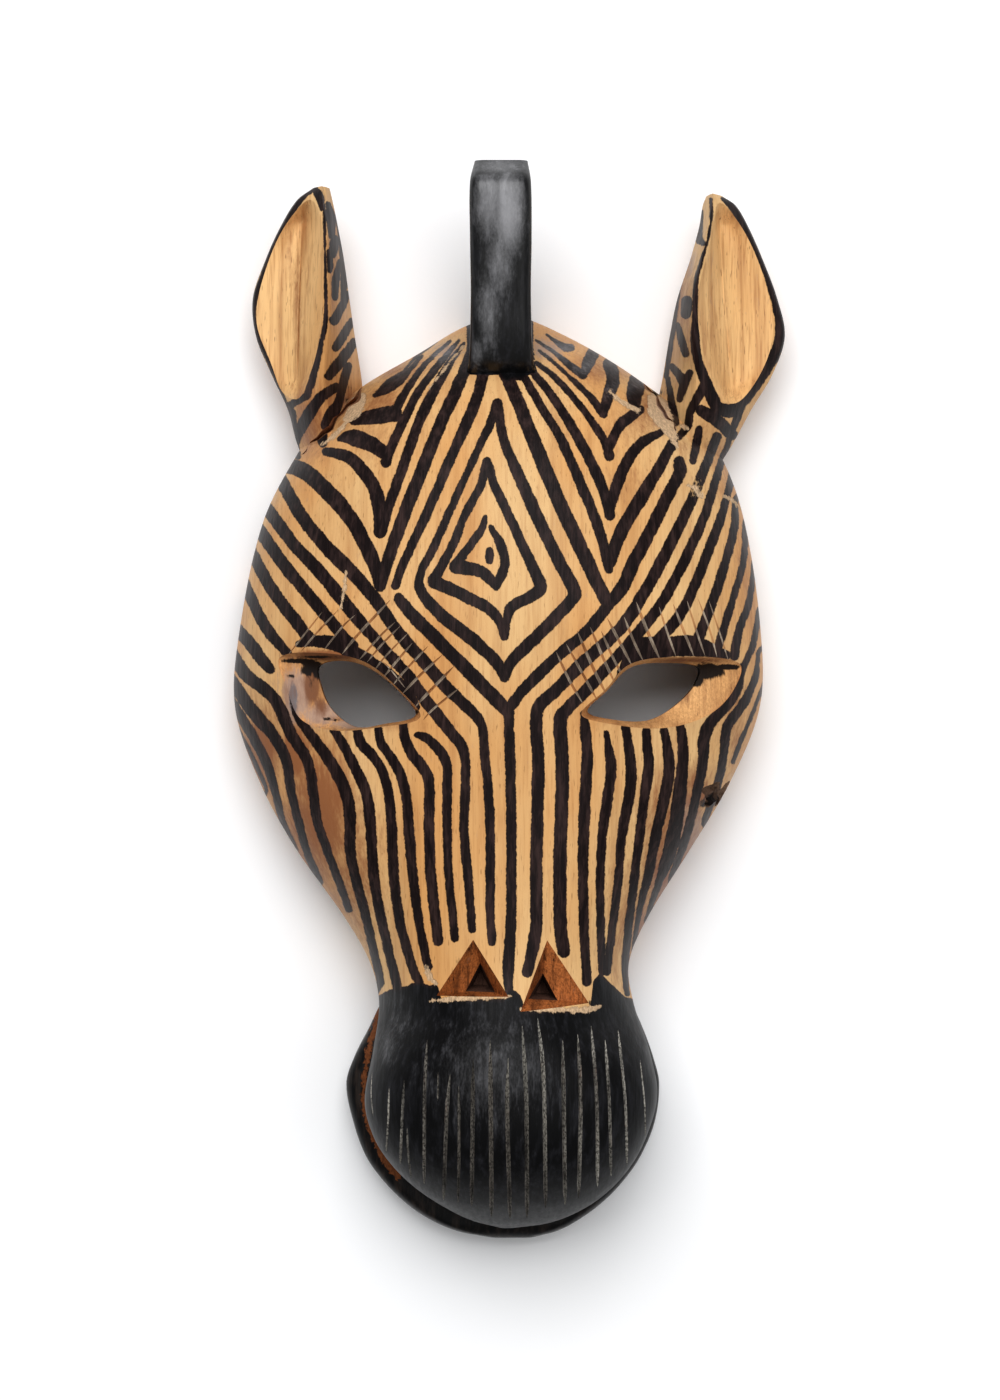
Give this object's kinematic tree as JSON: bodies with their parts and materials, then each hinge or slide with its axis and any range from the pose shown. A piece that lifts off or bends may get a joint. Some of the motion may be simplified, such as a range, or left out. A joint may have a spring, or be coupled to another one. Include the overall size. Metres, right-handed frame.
{
  "type": "carved zebra mask",
  "caption": "Carved wooden zebra mask with painted stripes, scooped ears, upright mane, open eye holes, fluted muzzle and a hollow back.",
  "frame": {"origin": "centre of the bounding box's base: the mask lies on its flat back", "axes": "+Z out of the face, +Y from the chin to the mane, +X to the right as the face is looked at"},
  "size_m": [0.1712, 0.33, 0.0785],
  "materials": {
    "painted_wood": "waxed and painted"
  },
  "bodies": {
    "root": {"zebra_mask": "painted_wood"}
  },
  "joints": []
}
